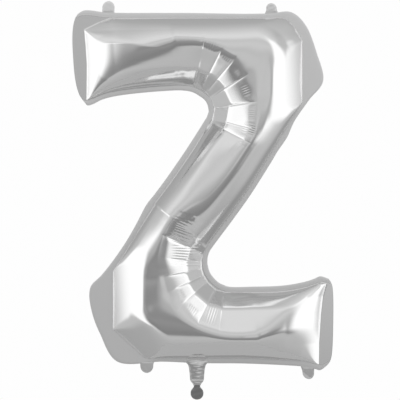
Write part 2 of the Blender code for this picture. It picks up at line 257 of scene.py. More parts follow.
# The letter's two ends. A facet rises from the flat strip along the end and meets the tube in two ridges,
# which run to a point. The fields are: which way along X the film lies from the strip, points on the strip's
# inner edge as x and z, the point's distance from the strip and its z, over how far the facet flattens out
# and to which height, the slope along the tube's crest at the point, by which share the facet is lower for
# each millimetre under the point, the z where the tube's upper flank starts from the strip and the slope of
# its seam from there, and whether that flank starts straight.
Facet = namedtuple("Facet", "way strip reach point flattens height after under flank climb straight")
LEFT_END = Facet(
    way=1,
    strip=[(-277, 215), (-276, 300), (-279, 345), (-282, 380), (-291, 400), (-291, 425)],
    reach=68.0,
    point=347.0,
    flattens=110.0,
    height=56.0,
    after=0.31,
    under=0.0,
    flank=384.0,
    climb=0.4,
    straight=True,
)
RIGHT_END = Facet(
    way=-1,
    strip=[(281, -410), (281, -367), (285, -300), (290, -255), (298, -225)],
    reach=84.0,
    point=-324.0,
    flattens=115.0,
    height=66.0,
    after=0.36,
    under=0.007,
    flank=-225.0,
    climb=0.4,
    straight=False,
)
BEYOND_POINT = 0.5  # the facet's slope where the tube has already taken over
POINT_ROUNDING = 25.0  # how far from the point the facet starts to stand lower
CREST_SETTLES = (95.0, 212.0)  # distances from the strip over which the tube's crest comes back to its middle
FLANK_ROUNDS = (40.0, 230.0)  # the same for its straight upper flank, which turns round
FLANK_BELLY = 0.3  # how far that flank swells
# Positions where the left end's shape stops, and where the tube's crest and then the whole shape start to be
# the right end's.
LEFT_END_STOPS = 7.0
RIGHT_CREST_STARTS = 33.0
RIGHT_END_STARTS = 37.2


def catmull_rom(rows, position):
    """The table's row at each position, on a smooth curve through its neighbours."""
    last = len(rows) - 1
    i = np.minimum(position.astype(int), last - 1)
    t = (position - i)[:, None]
    p, q, r, s = (rows[np.clip(i + k, 0, last)] for k in (-1, 0, 1, 2))
    return 0.5 * (2 * q + (r - p) * t + (2 * p - 5 * q + 4 * r - s) * t**2 + (3 * q - p - 3 * r + s) * t**3)


def smooth(value, start, end):
    """A soft step from 0 at the start to 1 at the end."""
    t = np.clip((value - start) / (end - start), 0.0, 1.0)
    return t * t * (3 - 2 * t)


def bearing(points, centre):
    return np.degrees(np.arctan2(points[:, 1] - centre[1], points[:, 0] - centre[0]))


def in_bend(position, name):
    """How far a bend's own shape counts at a position."""
    return smooth(position, *BEND_STARTS[name]) * (1 - smooth(position, *BEND_ENDS[name]))


def ray_places(rail, positions, limits, centre, angles):
    """Where rays from the centre meet a rail, as positions in the table."""
    inside = (positions >= limits[0]) & (positions <= limits[1])
    middle = (angles[0] + angles[-1]) / 2
    turned = (bearing(rail[inside], centre) - middle + 180) % 360 - 180 + middle
    order = np.argsort(turned)
    return np.interp(angles, turned[order], positions[inside][order])


def bend_angles(name):
    """Bearings of a bend's rows, from its first gore to its last, closer together beside tucks and pleats."""
    fine = np.linspace(GORES[name][0][0], GORES[name][-1][0], FINE_BEARINGS)
    density = np.ones(fine.shape)
    closer, within = TUCK_ROWS
    for tuck_line in TUCKS[name]:
        density += closer * np.exp(-(((fine - tuck_line[0]) / within) ** 2))
    closer, within = GROUP_ROWS
    for group in PLEATS[name]:
        density += closer * np.exp(-(((fine - group[0]) / within) ** 4))
    total = np.concatenate([[0.0], np.cumsum((density[1:] + density[:-1]) / 2)])
    return np.interp(np.linspace(0, total[-1], ROWS["bend"]), total, fine)


def bend_rows(name, fine, positions):
    """For every row of a bend, the positions at which its ray crosses rail a and rail b."""
    angles = bend_angles(name)
    crossings = []
    for rail, limits in zip((fine[:, 0:2], fine[:, 2:4]), RAYS_CROSS[name]):
        crossings.append(ray_places(rail, positions, limits, CENTRES[name], angles))
    return np.stack(crossings, axis=1)


def stretch(start, end, count):
    """Rows between two places, each a position or a pair of them for the two rails, without the last row."""
    share = np.linspace(0, 1, count, endpoint=False)[:, None]
    return np.broadcast_to(start, 2) * (1 - share) + np.broadcast_to(end, 2) * share


def row_places(fine, positions):
    """For every row of the mesh, its positions on rail a and rail b."""
    upper, lower = (bend_rows(name, fine, positions) for name in BENDS)
    half_bar = ROWS["bar"] // 2
    third = ROWS["diagonal"] // 3
    last = len(SECTIONS) - 1
    return np.concatenate([
        stretch(0, TOP_BAR_ROW, half_bar),
        stretch(TOP_BAR_ROW, upper[0], half_bar),
        upper[:-1],
        stretch(upper[-1], DIAGONAL_ROWS[0], third),
        stretch(*DIAGONAL_ROWS, third),
        stretch(DIAGONAL_ROWS[1], lower[0], third),
        lower[:-1],
        stretch(lower[-1], BOTTOM_BAR_ROW, half_bar),
        stretch(BOTTOM_BAR_ROW, last, half_bar),
        np.array([[last, last]]),
    ])


def across_places():
    """The share of the inflated width at each point across, closer together near the seams."""
    t = np.linspace(0, 1, ACROSS + 1)
    return EVEN_PART * t + (1 - EVEN_PART) * (1 - np.cos(math.pi * t)) / 2


def end_bow(position, share):
    """How far the ends are bowed along X, and their outer corners drawn in."""
    last = len(SECTIONS) - 1
    off = np.abs(2.0 * share - 1.0)
    left = np.maximum(0.0, 1.0 - position / BOW_ROWS)
    right = np.maximum(0.0, 1.0 - (last - position) / BOW_ROWS)
    bow = (left * LEFT_BOW + right * RIGHT_BOW) * (1 - off**BOW_POWER)
    return bow + (left - right) * CORNER_PULL * off**CORNER_POWER


def corner_slack(points, name):
    """How much film lies flat beyond the weld where rays from the centre cross an outer corner's sides."""
    centre = CENTRES[name]
    turned = bearing(points, centre)
    reach = np.linalg.norm(points - np.array(centre), axis=1)
    cut = np.full(reach.shape, FAR)
    for angle, distance, _ in SIDES[name] + CORNERS[name]:
        towards = np.cos(np.radians(turned - angle))
        crossed = distance / np.maximum(towards, SIDE_FACING)
        cut = np.where(towards > SIDE_FACING, np.minimum(cut, crossed), cut)
    return reach - cut - WELD


def edge_slack(points, place, name):
    """The slack along a rail: the outer corner's where the rail runs round it, and the least elsewhere."""
    first, last = BEND_SLACK[name]
    slack = np.where((place > first) & (place < last), corner_slack(points, name), 0.0)
    return np.maximum(slack, LEAST_SLACK)


class Plan:
    """The sheet's grid: where each point lies, the tube's depth there, and how far the inflated edges are."""

    def __init__(self):
        positions = np.arange((len(SECTIONS) - 1) * FINE_STEPS + 1) / FINE_STEPS
        pairs = row_places(catmull_rom(SECTIONS, positions), positions)
        rows_a = catmull_rom(SECTIONS, pairs[:, 0])
        rows_b = catmull_rom(SECTIONS, pairs[:, 1])
        a, b = rows_a[:, 0:2], rows_b[:, 2:4]
        length = np.linalg.norm(b - a, axis=1)
        along = (b - a) / length[:, None]
        place = pairs.mean(axis=1)
        slack_a = edge_slack(a, place, "upper")
        slack_b = edge_slack(b, place, "lower")
        edge_a = WELD + slack_a
        edge_b = length - WELD - slack_b
        columns = [WELD * k * np.ones_like(length) for k in IN_WELD]
        columns += [WELD + slack_a * k for k in IN_SLACK]
        columns += [edge_a + (edge_b - edge_a) * k for k in across_places()]
        columns += [edge_b + slack_b * (1 - k) for k in reversed(IN_SLACK)]
        columns += [length - WELD * k for k in reversed(IN_WELD)]
        across = np.stack(columns, axis=1)
        self.position = place[:, None] * np.ones_like(across)
        self.x = a[:, 0:1] + along[:, 0:1] * across + end_bow(self.position, across / length[:, None])
        self.z = a[:, 1:2] + along[:, 1:2] * across
        self.from_a = np.maximum(across - edge_a[:, None], 0.0)
        self.from_b = np.maximum(edge_b[:, None] - across, 0.0)
        self.depth = (rows_a[:, 4:] + rows_b[:, 4:]) / 2 * TUBE_DEPTH


def ray_frame(plan, centre, angle):
    """How far each point lies along a ray from the centre, and how far to its left."""
    turn = math.radians(angle)
    dx, dz = plan.x - centre[0], plan.z - centre[1]
    return dx * math.cos(turn) + dz * math.sin(turn), -dx * math.sin(turn) + dz * math.cos(turn)


def gore_distance(plan, name):
    """How far each point lies beyond the inner seam of a bend, as straight gores that meet at mitres."""
    best = 0.0
    for angle, reach in GORES[name]:
        best = np.maximum(best, ray_frame(plan, CENTRES[name], angle)[0] - reach)
    return best


def side_distance(plan, name, sides):
    """How far each point lies inside the outer seam of a bend, as straight sides that meet at ridges."""
    nearest = None
    for angle, reach, faster in sides[name]:
        distance = (reach - ray_frame(plan, CENTRES[name], angle)[0]) * faster
        nearest = distance if nearest is None else lower_of(nearest, distance, SEAM_ROUNDING)
    return np.maximum(nearest, 0.0)


def lower_of(first, second, rounding):
    """The lower of two surfaces, with the ridge where they meet rounded, less so where they are low."""
    lower = np.minimum(first, second)
    rounding = np.clip(LOW_RIDGE * lower, LEAST_RIDGE, rounding)
    near = np.maximum(rounding - np.abs(first - second), 0.0) / rounding
    return lower - near**2 * rounding / 4


def tube(plan, from_a, from_b):
    """The height of a tube that is round in section between its two inflated edges."""
    both = np.maximum(from_a + from_b, TINY)
    return plan.depth * np.sqrt(np.clip(4 * from_a * from_b / both**2, 0.0, 1.0))


def flattened(plan, height, inner, rail):
    """The height with the bar's inner flank made straight, steep next to the seam and then flatter."""
    share = smooth(plan.x, *STRAIGHT_X[rail]) * smooth(plan.position, *STRAIGHT_ALONG[rail])
    after_knee = FLANK_STEEP * FLANK_KNEE + FLANK_FLAT * (inner - FLANK_KNEE)
    flank = lower_of(FLANK_STEEP * inner, after_knee, FLANK_ROUNDING)
    return height + share * (lower_of(height, flank, RIDGE) - height)


def inside_end(plan, facet):
    """How far each point lies beyond the flat strip at one end."""
    strip = np.array(facet.strip, dtype=float)
    return np.maximum((plan.x - np.interp(plan.z, strip[:, 1], strip[:, 0])) * facet.way, 0.0)


def facet_rise(inside, facet):
    """The facet's height at a distance from the strip."""
    near = facet.height * (1 - (1 - np.minimum(inside, facet.reach) / facet.flattens) ** 2)
    return near + BEYOND_POINT * np.maximum(inside - facet.reach, 0.0)


def end_level(inside, facet):
    """The height of the tube's crest at a distance from the strip at its end."""
    point = facet_rise(np.array(facet.reach), facet)
    taper = 2 * (TUBE_DEPTH - point) / facet.after
    after = np.clip(inside - facet.reach, -facet.reach, taper)
    return point + facet.after * (after - after**2 / (2 * taper))


def end_height(plan, facet):
    """The sheet's height near one end, where the facet and the tube meet."""
    inside = inside_end(plan, facet)
    top, bottom = plan.z + plan.from_a, plan.z - plan.from_b
    middle = (top + bottom) / 2
    crest = facet.point + (middle - facet.point) * smooth(inside, *CREST_SETTLES)
    top = np.minimum(top, facet.flank + facet.climb * inside)
    over = (plan.z - crest) / np.maximum(np.where(plan.z > crest, top - crest, crest - bottom), 1.0)
    share = np.clip(np.abs(over), 0.0, 1.0)
    straight = facet.straight * (over > 0) * (1 - smooth(inside, *FLANK_ROUNDS))
    straight_part = straight * (1 - share) * (1 + FLANK_BELLY * share)
    round_part = (1 - straight) * np.sqrt(1 - share**2)
    body = end_level(inside, facet) * (straight_part + round_part)
    under = np.maximum(facet.point - plan.z, 0.0)
    face = facet_rise(inside, facet) * (1 - facet.under * under**2 / (under + POINT_ROUNDING))
    inner, rail = (plan.from_b, "b") if facet.way > 0 else (plan.from_a, "a")
    body = flattened(plan, body, inner, rail)
    return np.maximum(lower_of(body, face, END_RIDGE), 0.0)


def bend_edges(plan):
    """How far each point lies from the inflated edges, which in a bend are those of its gores and sides."""
    upper, lower = (in_bend(plan.position, name) for name in BENDS)
    swing = (plan.from_b - plan.from_a) / np.maximum(plan.from_a + plan.from_b, TINY)
    near_a = 1 - smooth(-swing, *GORE_FADES)
    near_b = 1 - smooth(swing, *GORE_FADES)
    from_a = plan.from_a + upper * (side_distance(plan, "upper", SIDES) - plan.from_a)
    from_b = plan.from_b + lower * (side_distance(plan, "lower", SIDES) - plan.from_b)
    from_b = from_b + upper * near_b * (gore_distance(plan, "upper") - from_b)
    from_a = from_a + lower * near_a * (gore_distance(plan, "lower") - from_a)
    return from_a, from_b


def blown_up(plan):
    """The height of the sheet as the gas shapes it, before its tucks, pleats and folds."""
    from_a, from_b = bend_edges(plan)
    height = tube(plan, from_a, from_b)
    height = flattened(plan, height, from_b, "b")
    height = flattened(plan, height, from_a, "a")
    height = np.maximum(height, 0.0) * (plan.from_a > 0) * (plan.from_b > 0)
    for name in BENDS:
        inside = np.minimum(side_distance(plan, name, CORNERS) / FACET_SPAN, 1.0)
        face = FACET_HEIGHT * (1 - (1 - inside) ** 2)
        lowered = np.maximum(lower_of(height, face, RIDGE), 0.0)
        height = height + in_bend(plan.position, name) * (lowered - height)
    crest = end_level(inside_end(plan, RIGHT_END), RIGHT_END) / TUBE_DEPTH
    height = np.where(plan.position > RIGHT_CREST_STARTS, height * crest, height)
    height = np.where(plan.position < LEFT_END_STOPS, end_height(plan, LEFT_END), height)
    return np.where(plan.position > RIGHT_END_STARTS, end_height(plan, RIGHT_END), height)


def tuck(plan, centre, angle, start, end, depth, width):
    """A V-shaped valley along a ray from a bend's centre, one flank a little steeper than the other."""
    along, off = ray_frame(plan, centre, angle)
    window = smooth(along, start, start + TUCK_STARTS) * (1 - smooth(along, end - TUCK_ENDS, end))
    flank = np.where(off > 0, width, width * TUCK_SKEW)
    return -depth * window * np.exp(-np.sqrt(off**2 + TUCK_BOTTOM**2) / flank)


def pleat(plan, middle, angle, length, depth):
    """A short V-shaped valley round a point."""
    along, off = ray_frame(plan, middle, angle)
    window = np.clip(1 - (2 * along / length) ** 2, 0.0, 1.0)
    return -depth * window * np.exp(-((off / PLEAT_WIDTH) ** 2))


def pleat_group(plan, centre, angle, radius, count, length, spacing, depth):
    """Pleats side by side, all in the direction of a ray from a bend's centre."""
    turn = math.radians(angle)
    shift, longer, deeper = GROUP_UNEVEN
    total = 0.0
    for k in range(count):
        side = (k - (count - 1) / 2) * spacing
        uneven = math.sin(GROUP_STEP * k + angle)
        reach = radius + shift * uneven
        x = centre[0] + reach * math.cos(turn) - side * math.sin(turn)
        z = centre[1] + reach * math.sin(turn) + side * math.cos(turn)
        size = (length * (1 + longer * uneven), depth * (1 + deeper * uneven))
        total = total + pleat(plan, (x, z), angle, *size)
    return total


def pleat_row(plan, first, last, count, angle, length, depth):
    """Pleats one below the other, from the first one's middle to the last one's."""
    shift, turned, longer = ROW_UNEVEN
    total = 0.0
    for k in range(count):
        share = k / (count - 1)
        uneven = math.sin(ROW_STEP * k + ROW_PHASE)
        x = first[0] + (last[0] - first[0]) * share + shift * uneven
        z = first[1] + (last[1] - first[1]) * share
        total = total + pleat(plan, (x, z), angle + turned * uneven, length * (1 + longer * uneven), depth)
    return total


def off_path(plan, path):
    """How far each point is from a line of several parts, and at which share of the line it is nearest."""
    nearest = np.full(plan.x.shape, FAR)
    reached = np.zeros(plan.x.shape)
    done = 0.0
    for (x0, z0), (x1, z1) in zip(path[:-1], path[1:]):
        dx, dz = x1 - x0, z1 - z0
        length = math.hypot(dx, dz)
        part = np.clip(((plan.x - x0) * dx + (plan.z - z0) * dz) / length**2, 0.0, 1.0)
        off = np.hypot(plan.x - x0 - part * dx, plan.z - z0 - part * dz)
        closer = off < nearest
        nearest = np.where(closer, off, nearest)
        reached = np.where(closer, done + part * length, reached)
        done += length
    return nearest, reached / done


def fold(plan, path, jump, reach, fade_in, fade_out):
    """A ridge or a valley along a line: the slope jumps across it and comes back further out."""
    off, share = off_path(plan, path)
    strength = smooth(share, 0.0, fade_in) * (1 - smooth(share, 1.0 - fade_out, 1.0))
    window = np.clip(1 - (off / reach) ** 2, 0.0, 1.0) ** 2
    return -jump / 2 * (np.sqrt(off**2 + 1.0) - 1.0) * window * strength


def heights(plan):
    """The sheet's height off the middle plane, in millimetres."""
    height = blown_up(plan)
    for name in BENDS:
        for line in TUCKS[name]:
            height = height + tuck(plan, CENTRES[name], *line) * smooth(height, *RELIEF_FADES)
    relief = 0.0
    for name in BENDS:
        for group in PLEATS[name]:
            relief = relief + pleat_group(plan, CENTRES[name], *group)
    for row in PLEAT_ROWS:
        relief = relief + pleat_row(plan, *row)
    for line in FOLDS:
        relief = relief + fold(plan, *line)
    height = height + relief * smooth(height, *RELIEF_FADES)
    return np.maximum(height, 0.0)


def grid_mesh(name, x, y, z, flip, seams):
    """A mesh from a grid of points, in metres, with a sharp crease along each column that is a seam."""
    rows, columns = x.shape
    mesh = bpy.data.meshes.new(name)
    points = np.stack([x, y, z], axis=-1).reshape(-1, 3) * MM
    index = np.arange(rows * columns).reshape(rows, columns)
    corners = [index[:-1, :-1], index[1:, :-1], index[1:, 1:], index[:-1, 1:]]
    if flip:
        corners.reverse()
    quads = np.stack(corners, axis=-1).reshape(-1, 4)
    mesh.vertices.add(len(points))
    mesh.vertices.foreach_set("co", points.ravel())
    mesh.loops.add(quads.size)
    mesh.loops.foreach_set("vertex_index", quads.ravel())
    mesh.polygons.add(len(quads))
    mesh.polygons.foreach_set("loop_start", np.arange(0, quads.size, 4))
    mesh.update(calc_edges=True)
    mesh.validate()
    mesh.shade_smooth()
    ends = np.empty(len(mesh.edges) * 2, dtype=np.int32)
    mesh.edges.foreach_get("vertices", ends)
    column = ends.reshape(-1, 2) % columns
    along_seam = (column[:, 0] == column[:, 1]) & np.isin(column[:, 0], seams)
    mesh.edges.foreach_set("use_edge_sharp", along_seam)
    made = bpy.data.objects.new(name, mesh)
    bpy.context.scene.collection.objects.link(made)
    return made


def foil_sheet(name, plan, side, materials):
    """One sheet, to the front where side is -1 and to the back where it is 1: film, margin and crease, the
    crease in a darker film that paints the shade there.
    """
    height = FILM_GAP + heights(plan)
    for edge in (0, -1):
        height[:, edge] = 0.0
        height[edge, :] = 0.0
    rows, columns = plan.x.shape
    margin = len(IN_WELD) + len(IN_SLACK)
    sheet = grid_mesh(name, plan.x, side * height, plan.z, side > 0, (margin, columns - 1 - margin))
    for material in materials:
        sheet.data.materials.append(material)
    # The first columns on either side are the margin, then comes the crease where the film leaves it, darker
    # to paint the shade in the crease.
    kind = np.zeros(columns - 1, dtype=np.int32)
    kind[:margin] = 1
    kind[-margin:] = 1
    kind[[margin, -margin - 1]] = 2
    sheet.data.polygons.foreach_set("material_index", np.tile(kind, rows - 1))
    return sheet


# Tabs, which are flaps of both films: node, middle of the root as x and z, way it points, half width at the
# root and where its round end begins, how far that is from the root, length, lean to the right, tilt forwards
# in degrees, how strongly it is crumpled, and how strongly its lower left part curls away.
Tab = namedtuple("Tab", "node x z up root_half end_half straight length lean tilt crumple curl")
TABS = [
    Tab("tab_top_left", -225.0, 425.5, 1, 15.0, 14.6, 13.0, 28.0, 1.0, 8.0, 0.10, 0.0),
    Tab("tab_top_right", 167.5, 424.5, 1, 16.4, 12.5, 12.0, 23.8, -1.5, 3.0, 0.32, 0.0),
    Tab("tab_bottom_left", -132.5, -411.0, -1, 18.5, 15.6, 11.0, 28.0, 0.0, -3.0, 0.06, 0.0),
    Tab("tab_bottom_right", 254.0, -424.5, -1, 17.0, 14.0, 14.0, 30.0, 2.5, -9.0, 0.22, 0.75),
]
TAB_FILM = 0.25  # half the thickness of both films together
TAB_HIDDEN = 7.0  # part of the tab between the letter's sheets
TAB_ROWS = (22, 26)  # rows before the round end begins and in it
TAB_TIP = 0.9985  # share of the round end's length at which it is cut off
TAB_SIDE_WELD = (2.0, 4.2)  # distances from the sides over which the films part
TAB_TIP_WELD = (2.2, 4.4)  # the same from the tip
TAB_PUFF = 0.45
PUFF_STARTS = (1.0, 5.0)  # distances from the root over which a tab gets puffed
FOLDS_START = (0.0, 6.0)  # and over which it gets crumpled
FOLD_SIZE = 7.0  # size of the facets that it is crumpled into
FIRST_SEED = 1.1
SEED_STEP = 0.9
TAB_BENDS = 6.0  # length over which a tab bends to its tilt
CURL_FROM = (1.0, 22.0)  # a point on the crease where the curl starts, sideways and down the tab
CURL_WAY = (-0.6, 0.80)  # the direction across that crease
CURL_BENDS = 3.0  # how softly the curl starts

# The neck and its pull end: distance below the letter's lower edge and half width.
NECK_X = -12.0
NECK_ROOT = -414.5
NECK_ROWS = [
    (-7, 27.0), (0, 25.5), (3, 23.0), (8, 20.3), (17, 18.6),
    (28, 17.4), (40, 16.4), (45, 14.6), (50, 10.4), (55, 8.0),
]
PULL_ROWS = [
    (53, 7.6), (58, 8.0), (62, 11.0), (67, 14.2), (73, 15.4),
    (79, 14.6), (83, 12.4), (86, 9.6), (88.4, 4.5), (89, 0.8),
]
NECK_FILM = 0.15  # half the thickness of each film
NECK_GAP = 0.32  # how far the middle of each film is off the middle plane
NECK_BULGE = 1.9
NECK_OPENS = (-7.0, 6.0)  # distances below the edge over which the films part
NECK_CLOSES = (38.0, 43.0)  # and come together again
NECK_SIDE = 3.4  # width of the weld down each side
# Shallow grooves: depth, where the middle is, and half width. One crosses the neck, one follows each side.
NECK_CROSS_WELD = (0.55, 41.5, 1.3)
NECK_SIDE_WELD = (0.25, 3.2, 0.8)
SIDE_WELD_STARTS = (2.0, 6.0)  # distances below the edge over which the one at the side gets its depth
# Ripples of the neck: height, radians a millimetre down and across, and phase.
NECK_RIPPLES = [(0.09, 0.78, 0.12, 0.0), (0.06, 1.31, -0.19, 1.0)]
NECK_FOLDS = (0.12, 8.0, 2.0)  # height, size of the facets, seed
PULL_FILM = 0.3
PULL_BORDER = (1.2, 3.0)  # distances from the side over which the flap gets thicker
PULL_PUFF = 0.35
PULL_FOLDS = (0.4, 9.0, 1.3)
PULL_LEAN = 0.10  # how far it leans back for each millimetre
FLAP_EDGE = 24  # how late a flap's film thins out towards its side

# Folds of handled film: how many waves are added up, by how many radians each is turned from the one before,
# how far it is shifted, the first one's length as a share of the facets' size and what each next one adds to
# it, and each one's strength beside the one before.
CRUMPLE_WAVES = 5
CRUMPLE_TURN = 2.4
CRUMPLE_SHIFT = 1.7
CRUMPLE_LENGTH = 0.7
CRUMPLE_LONGER = 0.23
CRUMPLE_WEAKER = 0.62


def wrapped_mesh(name, x, y, z, material):
    """A closed thin piece from rings of points, in millimetres, with a flat cap at each end."""
    rows, columns = x.shape
    points = [tuple(float(k) * MM for k in point) for point in zip(x.ravel(), y.ravel(), z.ravel())]
    faces = [tuple(range(columns - 1, -1, -1)), tuple((rows - 1) * columns + k for k in range(columns))]
    for i in range(rows - 1):
        for k in range(columns):
            after = (k + 1) % columns
            corners = (i * columns + k, i * columns + after, (i + 1) * columns + after, (i + 1) * columns + k)
            faces.append(corners)
    mesh = bpy.data.meshes.new(name)
    mesh.from_pydata(points, [], faces)
    mesh.validate()
    mesh.shade_smooth()
    mesh.materials.append(material)
    made = bpy.data.objects.new(name, mesh)
    bpy.context.scene.collection.objects.link(made)
    return made


def film_flap(name, shape, place, relief, half_thickness, material, across=28):
    """A thin flap: shape gives half widths and shifts down its length, relief its bends to the front."""
    down, half, shift = shape
    u = np.sin(np.linspace(-1, 1, across + 1) * math.pi / 2)
    share = np.concatenate([u, u[::-1]])[None, :]
    side = np.concatenate([np.ones(across + 1), -np.ones(across + 1)])[None, :]
    side = side * (1 - np.abs(share) ** FLAP_EDGE)
    v = down[:, None] * np.ones_like(share)
    sideways = half[:, None] * share + shift[:, None]
    forward = relief(sideways, v, share, half[:, None]) + side * half_thickness
    root_x, root_z, way = place
    if way > 0:
        sideways, forward = sideways[:, ::-1], forward[:, ::-1]
    return wrapped_mesh(name, root_x + sideways, -forward, root_z + way * v, material)


def tab_shape(tab):
    before, after = TAB_ROWS
    round_length = tab.length - tab.straight
    start = np.linspace(-TAB_HIDDEN, tab.straight, before)
    round_part = np.sin(np.linspace(0, 1, after)[1:] * math.pi / 2) * round_length + tab.straight
    down = np.concatenate([start, round_part])
    along = np.clip((down - tab.straight) / round_length, 0.0, TAB_TIP)
    flare = (tab.root_half - tab.end_half) * (1 - np.clip(down / tab.straight, 0.0, 1.0)) ** 2
    half = (tab.end_half + flare) * np.sqrt(1 - along**2)
    return down, half, tab.lean * np.clip(down, 0.0, None) / tab.length


def crumple(u, v, height, size, seed):
    """Soft facets like those of handled film, up to about the height on either side."""
    total = 0.0
    for k in range(CRUMPLE_WAVES):
        turn = CRUMPLE_TURN * k + seed
        length = size * (CRUMPLE_LENGTH + CRUMPLE_LONGER * k)
        wave = (u * math.cos(turn) + v * math.sin(turn)) / length + CRUMPLE_SHIFT * k * seed
        total = total + (np.abs((wave % 2.0) - 1.0) - 0.5) * CRUMPLE_WEAKER**k
    return height * total


def make_tab(tab, seed, material):
    """A tab with its border welded flat, its middle a little puffed, and all of it crumpled and tilted."""
    def relief(u, v, share, half):
        outside = np.clip(v, 0.0, None)
        bend = -tab.up * math.tan(math.radians(tab.tilt)) * outside**2 / (outside + TAB_BENDS)
        puffed = TAB_PUFF * smooth(half - np.abs(share) * half, *TAB_SIDE_WELD)
        puffed = puffed * smooth(tab.length - v, *TAB_TIP_WELD) * smooth(v, *PUFF_STARTS)
        folds = crumple(u, v, tab.crumple, FOLD_SIZE, seed) * smooth(v, *FOLDS_START)
        beyond = CURL_WAY[0] * (u - CURL_FROM[0]) + CURL_WAY[1] * (outside - CURL_FROM[1])
        beyond = np.clip(beyond, 0.0, None)
        return bend + puffed + folds - tab.curl * beyond**2 / (beyond + CURL_BENDS)

    place = (tab.x, tab.z, tab.up)
    return film_flap("ear_" + tab.node[4:], tab_shape(tab), place, relief, TAB_FILM, material)


def shape_from(rows, fine):
    """A flap's rows on smooth curves through a table of distances down it and half widths."""
    table = np.array(rows, dtype=float)
    positions = np.linspace(0, len(table) - 1, (len(table) - 1) * fine + 1)
    down, half = catmull_rom(table, positions).T
    return down, half, np.zeros(len(down))


def groove(value, weld):
    """A shallow groove where the value is near the weld's middle."""
    depth, middle, half_width = weld
    return -depth * np.exp(-(((value - middle) / half_width) ** 2))


def neck_film(name, front, material):
    """One of the neck's two films, which bulges forwards, or backwards where front is -1."""
    def relief(u, v, share, half):
        off_side = half - np.abs(share) * half
        open_half = np.maximum(half - NECK_SIDE, 1.0)
        inside = np.clip(1 - (np.abs(share) * half / open_half) ** 2, 0.0, 1.0)
        puff = NECK_BULGE * inside * smooth(v, *NECK_OPENS) * (1 - smooth(v, *NECK_CLOSES))
        ripple = 0.0
        for height, downwards, across, phase in NECK_RIPPLES:
            ripple = ripple + height * np.sin(v * downwards + across * u + phase)
        welds = groove(v, NECK_CROSS_WELD) + groove(off_side, NECK_SIDE_WELD) * smooth(v, *SIDE_WELD_STARTS)
        return front * (NECK_GAP + puff + ripple * inside**0.5 + welds + crumple(u, v, *NECK_FOLDS))

    place = (NECK_X, NECK_ROOT, -1)
    shape = shape_from(NECK_ROWS, fine=9)
    return film_flap(name, shape, place, relief, NECK_FILM, material, across=40)


def pull_end(material):
    """The small round flap below the neck's waist, in a darker film that paints the shade on it."""
    def relief(u, v, share, half):
        border = smooth(half - np.abs(share) * half, *PULL_BORDER)
        return PULL_PUFF * border + crumple(u, v, *PULL_FOLDS) - PULL_LEAN * (v - PULL_ROWS[0][0])

    place = (NECK_X, NECK_ROOT, -1)
    shape = shape_from(PULL_ROWS, fine=8)
    return film_flap("pull_flap", shape, place, relief, PULL_FILM, material, across=30)


class Nodes:
    """Short calls that add shader nodes to a tree."""

    def __init__(self, tree):
        self.tree = tree
        tree.nodes.clear()

    def add(self, kind, **settings):
        node = self.tree.nodes.new(kind)
        for key, value in settings.items():
            setattr(node, key, value)
        return node

    def join(self, source, target):
        self.tree.links.new(source, target)

    def fill(self, sockets, values):
        """Sets each socket to its value, or joins it where the value is another node's output."""
        for socket, value in zip(sockets, values):
            if isinstance(value, (int, float)):
                socket.default_value = value
            else:
                self.join(value, socket)

    def math(self, operation, *values):
        node = self.add("ShaderNodeMath", operation=operation)
        self.fill(node.inputs, values)
        return node.outputs[0]

    def ease(self, value, none, full):
        """A smooth step from 0 at the value called none to 1 at the one called full, whichever is larger."""
        node = self.add("ShaderNodeMapRange", interpolation_type="SMOOTHSTEP")
        first, last, ends = (none, full, (0.0, 1.0)) if none < full else (full, none, (1.0, 0.0))
        sockets = [node.inputs[name] for name in ("Value", "From Min", "From Max", "To Min", "To Max")]
        self.fill(sockets, (value, first, last, *ends))
        return node.outputs["Result"]

    def times(self, first, *others):
        for other in others:
            first = self.math("MULTIPLY", first, other)
        return first

    def blend(self, share, low, high):
        node = self.add("ShaderNodeMix", data_type="FLOAT")
        self.fill((node.inputs[0], node.inputs[2], node.inputs[3]), (share, low, high))
        return node.outputs[0]


FOIL_REFLECTANCE = 0.86

# The films: how much light each reflects, and its roughness.
FILMS = {
    "bright_foil": (FOIL_REFLECTANCE, 0.13),
    "weld_margin": (0.93, 0.4),
    # the crease's film is darker than the foil to paint the shade in the crease
    "crease_painted_shade": (0.5, 0.35),
    "tab_film": (0.9, 0.35),
    # the pull end's film is darker than the foil to paint the shade on the flap
    "pull_film": (0.42, 0.3),
}


def shown(level):
    """The light that a patch of the studio gives off to show in the foil as this grey level of 255."""
    part = level / 255
    linear = part / 12.92 if part <= 0.04045 else ((part + 0.055) / 1.055) ** 2.4
    return linear / FOIL_REFLECTANCE


# Grey levels of the studio as the foil shows them, round the horizontal axis: 0 degrees is from the camera's
# side, 90 from above, 180 from behind the letter and -90 from below.
STUDIO = [
    (-180, 160), (-124, 140), (-100, 160), (-60, 172), (-42, 184), (-37, 180), (-35, 124), (-28, 128),
    (-12, 142), (0, 168), (10, 178), (20, 196), (26, 200), (36, 192), (44, 216), (52, 216), (62, 205),
    (80, 186), (99, 170), (135, 163), (180, 160),
]
BACKDROP = 0.99  # the white that the camera sees behind the letter
WHITE_BOX = 1.2  # light of the white boxes
BOX_AWAY = 1.1  # how much the direction away from the camera counts at the edges of the boxes
BOX_UNDER = 1.25  # and the one downwards

